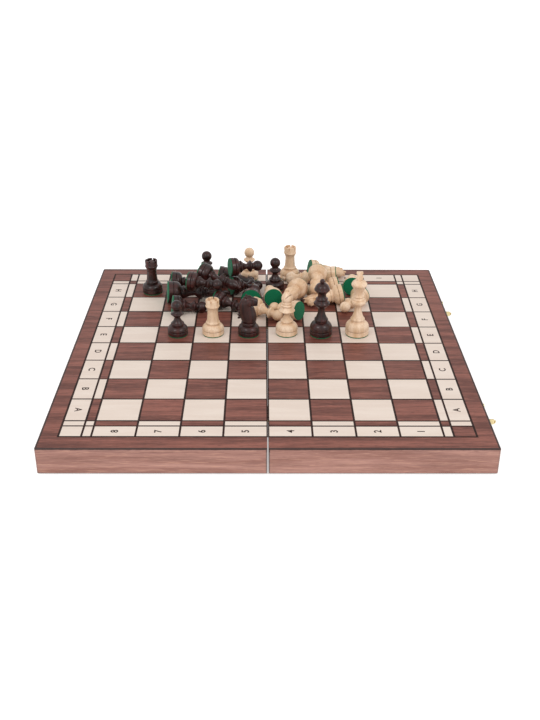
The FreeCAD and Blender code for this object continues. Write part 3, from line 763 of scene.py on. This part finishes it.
def makeKnight():
    bm = turnedBlank(baseSteps(knightMade["foot"], 9.4, 16.4) + [(6.0, 18.4)])
    head = bmesh.new()
    row = [knightRings[0]] + knightRings + [knightRings[-1]]
    rings = []
    for i in range(1, len(row) - 2):
        for part in range(4):
            rings.append([between(row[i - 1][k], row[i][k], row[i + 1][k], row[i + 2][k], part / 4)
                          for k in range(5)])
    rings.append(list(knightRings[-1]))

    def ringPlace(ring):
        x, z, lean, depth, width = ring
        return (Matrix.Translation((x * mm, 0, z * mm)) @ Matrix.Rotation(math.radians(lean), 4, "Y")
                @ Matrix.Diagonal((depth * mm, width * mm, mm, 1.0)))

    made = bmesh.ops.create_circle(head, cap_ends=False, radius=1.0, segments=28)["verts"]
    edges = list({edge for vert in made for edge in vert.link_edges})
    place = ringPlace(rings[0])
    bmesh.ops.transform(head, matrix=place, verts=made)
    bmesh.ops.contextual_create(head, geom=edges)
    for ring in rings[1:]:
        nextPlace = ringPlace(ring)
        grown = bmesh.ops.extrude_edge_only(head, edges=edges)["geom"]
        verts = [item for item in grown if isinstance(item, bmesh.types.BMVert)]
        edges = [item for item in grown if isinstance(item, bmesh.types.BMEdge)]
        bmesh.ops.transform(head, matrix=nextPlace @ place.inverted(), verts=verts)
        place = nextPlace
    bmesh.ops.contextual_create(head, geom=edges)

    def lump(size, at, lean=0.0):
        made = bmesh.ops.create_icosphere(head, subdivisions=3, radius=1.0)["verts"]
        spot = (Matrix.Translation([v * mm for v in at]) @ Matrix.Rotation(math.radians(lean), 4, "Y")
                @ Matrix.Diagonal([v * mm for v in size] + [1.0]))
        bmesh.ops.transform(head, matrix=spot, verts=made)

    for hand in (-1, 1):
        lump((4.2, 1.5, 4.4), (1.4, hand * 4.6, 43.8), 20)  # cheek
        lump((1.5, 0.8, 1.2), (4.8, hand * 4.5, 47.6), 10)  # eye
        lump((2.5, 0.7, 0.8), (4.6, hand * 4.3, 49.3), 14)  # brow
        lump((1.2, 0.7, 0.9), (10.2, hand * 3.6, 46.0), 20)  # nostril
        lump((1.5, 1.2, 3.1), (-2.6, hand * 2.7, 51.4), -14)  # ear
        lump((2.8, 0.6, 0.5), (9.0, hand * 4.0, 41.6), 6)  # lip
    locks = 8
    for i in range(locks):  # the mane
        share = i / (locks - 1)
        lump((3.4, 1.9, 1.7), (-11.0 + 7.6 * share ** 2.4, 0, 24.0 + 26.0 * share), -34 + 60 * share)
    lump((2.8, 1.4, 1.5), (1.6, 0, 52.2), 24)  # forelock
    mesh = bpy.data.meshes.new("knightHead")
    head.to_mesh(mesh)
    head.free()
    bm.from_mesh(mesh)
    bpy.data.meshes.remove(mesh)
    return bm


def feltDisc(foot):
    bm = turnedBlank([(foot - 0.5, 0.0), (foot - 0.45, 0.5, foot - 0.55, 0.98)])
    return finishMesh(bm, "feltBlank")


makers = {
    "pawn": (makePawn, pawnMade), "rook": (makeRook, rookMade), "knight": (makeKnight, knightMade),
    "bishop": (makeBishop, bishopMade), "queen": (makeQueen, queenMade), "king": (makeKing, kingMade),
}
blanks = {}
for kind, (maker, made) in makers.items():
    blanks[kind] = (finishMesh(maker(), kind + "Blank", 40.0), feltDisc(made["foot"]))
    print("turned a", kind)

# kind, foot centre in squares from the middle, heading, tilt above level, turn about its own axis
# a tilt of 90 stands, None lies as it falls
layout = {
    "dark_pawn_1": ("pawn", -2.46, 0.53, 0, 90, 0),
    "light_rook_1": ("rook", -1.49, 0.57, 0, 90, 0),
    "dark_knight_1": ("knight", -0.51, 0.55, 0, 90, 0),
    "light_bishop_1": ("bishop", 0.54, 0.6, 0, 90, -40),
    "dark_queen": ("queen", 1.48, 0.54, 0, 90, 0),
    "light_king": ("king", 2.48, 0.58, 0, 90, 90),
    "dark_rook_1": ("rook", -3.45, 3.4, 0, 90, 0),
    "dark_pawn_2": ("pawn", -1.84, 4.15, 0, 90, 0),
    "light_pawn_1": ("pawn", -0.54, 4.45, 0, 90, 0),
    "dark_pawn_3": ("pawn", 0.25, 3.62, 0, 90, 0),
    "light_rook_2": ("rook", 0.72, 4.5, 0, 90, 0),
    "dark_bishop_1": ("bishop", -2.9, 3.46, 3, None, 0),
    "dark_king": ("king", -2.92, 2.62, 9, None, 0),
    "dark_pawn_4": ("pawn", -2.72, 1.82, 8, None, 0),
    "dark_pawn_5": ("pawn", -1.5, 2.24, -25, None, 0),
    "dark_pawn_6": ("pawn", -1.08, 3.19, 21, None, 0),
    "dark_knight_2": ("knight", -1.48, 3.94, -6, None, 90),
    "dark_rook_2": ("rook", -0.46, 2.14, 86, None, 0),
    "light_pawn_2": ("pawn", 0.19, 2.29, 97, None, 0),
    "light_pawn_3": ("pawn", -0.45, 1.78, -28, None, 0),
    "light_pawn_4": ("pawn", 0.92, 1.42, 146, None, 0),
    "light_knight_1": ("knight", 2.24, 2.58, 186, None, 90),
    "light_pawn_6": ("pawn", 2.8, 2.6, -130, None, 0),
    "light_pawn_7": ("pawn", 2.55, 3.14, 85, None, 0),
    "light_pawn_5": ("pawn", 2.14, 3.22, 188, None, 0),
    "light_knight_2": ("knight", 1.32, 4.46, 8, None, 90),
    "light_queen": ("queen", 2.12, 3.88, 178, None, 0),
    "light_pawn_8": ("pawn", 1.53, 3.42, 262, -12, 0),
    "dark_bishop_2": ("bishop", -1.96, 3.05, -25, -12, 0),
    "dark_pawn_7": ("pawn", -2.28, 2.45, -14, -2, 0),
    "dark_pawn_8": ("pawn", -1.11, 3.25, 16, -3, 0),
    "light_bishop_2": ("bishop", 0.955, 3.0, 249, 6, 0),
}


def restingTilt(mesh, roll):
    # the tilt of a piece lying on its foot edge and its widest part
    down = Vector((math.cos(roll), -math.sin(roll), 0))
    reach = [(v.co.dot(down), v.co.z) for v in mesh.vertices]
    footReach, footZ = max((d, z) for d, z in reach if z < 8 * mm)
    steepest = math.pi / 2
    for d, z in reach:
        if z > footZ + 12 * mm:
            steepest = min(steepest, math.atan2(footReach - d, z - footZ))
    return -steepest


def setGrain(mesh, shift, foot):
    mesh.attributes.new(grainName, "FLOAT_VECTOR", "POINT")
    mesh.attributes.new(burnName, "FLOAT", "POINT")
    grain, burn = mesh.attributes[grainName], mesh.attributes[burnName]
    for vert, item, mark in zip(mesh.vertices, grain.data, burn.data):
        item.vector = vert.co + shift
        radius = math.hypot(vert.co.x, vert.co.y) / mm
        inGroove = radius < foot - 0.7 and radius > foot - 1.6 and abs(vert.co.z / mm - 0.5 * foot) < 0.4
        mark.value = 1.0 if inGroove else 0.0


random.seed(12)
for node, (kind, x, y, heading, tilt, turn) in layout.items():
    wood, felt = blanks[kind]
    roll = math.radians(turn)
    lean = restingTilt(wood, roll) if tilt is None else math.radians(tilt)
    spun = (Matrix.Rotation(math.radians(heading), 4, "Z") @ Matrix.Rotation(math.pi / 2 - lean, 4, "Y")
            @ Matrix.Rotation(roll, 4, "Z"))
    square = field["square"]
    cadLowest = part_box(node)[0].z
    pair = [wood.copy(), felt.copy()]
    setGrain(pair[0], Vector([random.uniform(-1, 1) for _ in range(3)]), makers[kind][1]["foot"])
    pair[0].transform(spun)
    pair[1].transform(spun)
    lowest = min(v.co.z for mesh in pair for v in mesh.vertices)
    if kind == "knight" and tilt == 90:
        lowest = 0.0
    place = Matrix.Translation((x * square, y * square, cadLowest - lowest))
    for mesh in pair:
        mesh.transform(place)
    pair[0].name = node + "_wood"
    pair[1].name = node + "_felt"
    body = node + "_body"
    isDark = node.startswith("dark")
    addPiece(node + "_wood", pair[0], darkPieceWood if isDark else lightPieceWood, body, [node])
    addPiece(node + "_felt", pair[1], greenFelt, body, [node])
for wood, felt in blanks.values():
    bpy.data.meshes.remove(wood)
    bpy.data.meshes.remove(felt)
print("pieces laid out")


# ---- floor, light and camera

studio = {
    "floorSize": 14.0, "floorGlow": 0.50, "sky": 0.82, "lampSize": 0.6,
    "keyAt": (-0.9, -1.1, 1.5), "keyWatts": 7.5, "fillAt": (1.1, -0.9, 1.4), "fillWatts": 6.5,
}


def makeFloor():
    bm = bmesh.new()
    bmesh.ops.create_grid(bm, x_segments=2, y_segments=2, size=studio["floorSize"])
    bmesh.ops.translate(bm, vec=(0, 0, cadLow.z - 0.2 * mm), verts=bm.verts)
    mesh = bpy.data.meshes.new("studioFloor")
    bm.to_mesh(mesh)
    bm.free()
    mat, tree, bsdf = startMaterial("pale_floor")
    place = tree.nodes.new("ShaderNodeTexCoord").outputs["Object"]
    tone = mixColor(tree, noise(tree, place, 6.0, 2.0), rgb(0.78, 0.78, 0.78), rgb(0.82, 0.82, 0.82))
    tree.links.new(tone, bsdf.inputs["Base Color"])
    bsdf.inputs["Roughness"].default_value = 1.0
    bsdf.inputs["Specular IOR Level"].default_value = 0.0
    bsdf.inputs["Emission Color"].default_value = rgb(1.0, 1.0, 1.0)
    bsdf.inputs["Emission Strength"].default_value = studio["floorGlow"]
    # clear from below, so the underside can be seen
    clear = tree.nodes.new("ShaderNodeBsdfTransparent")
    seen = tree.nodes.new("ShaderNodeMixShader")
    below = tree.nodes.new("ShaderNodeNewGeometry").outputs["Backfacing"]
    tree.links.new(below, seen.inputs[0])
    tree.links.new(bsdf.outputs["BSDF"], seen.inputs[1])
    tree.links.new(clear.outputs["BSDF"], seen.inputs[2])
    tree.links.new(seen.outputs["Shader"], tree.nodes["Material Output"].inputs["Surface"])
    mesh.materials.append(mat)
    obj = bpy.data.objects.new("studio_floor", mesh)
    scene.collection.objects.link(obj)


def makeLight(name, at, watts):
    # an area lamp that points at the middle of the board
    light = bpy.data.lights.new(name, "AREA")
    light.size = studio["lampSize"]
    light.energy = watts
    obj = bpy.data.objects.new(name, light)
    obj.location = at
    obj.rotation_euler = (-Vector(at)).to_track_quat("-Z", "Y").to_euler()
    scene.collection.objects.link(obj)


makeFloor()
sky = bpy.data.worlds.new("studio")
sky.use_nodes = True
sky.node_tree.nodes["Background"].inputs["Color"].default_value = (1, 1, 1, 1)
sky.node_tree.nodes["Background"].inputs["Strength"].default_value = studio["sky"]
scene.world = sky
makeLight("key_light", studio["keyAt"], studio["keyWatts"])
makeLight("fill_light", studio["fillAt"], studio["fillWatts"])
scene.view_settings.view_transform = "Standard"

shot = {"at": (-0.0055, -1.0425, 0.5626), "pitch": 0.4904, "yaw": -0.0087, "roll": -0.0054, "lens": 46.9}
camera = bpy.data.cameras.new("camera")
camera.lens = shot["lens"]
camera.clip_start = 0.01
camera.clip_end = 50.0
cameraHolder = bpy.data.objects.new("camera", camera)
aim = (Matrix.Rotation(shot["yaw"], 4, "Z") @ Matrix.Rotation(math.pi / 2 - shot["pitch"], 4, "X")
       @ Matrix.Rotation(-shot["roll"], 4, "Z"))
cameraHolder.matrix_world = Matrix.Translation(shot["at"]) @ aim
scene.collection.objects.link(cameraHolder)
scene.camera = cameraHolder

print("scene ready")
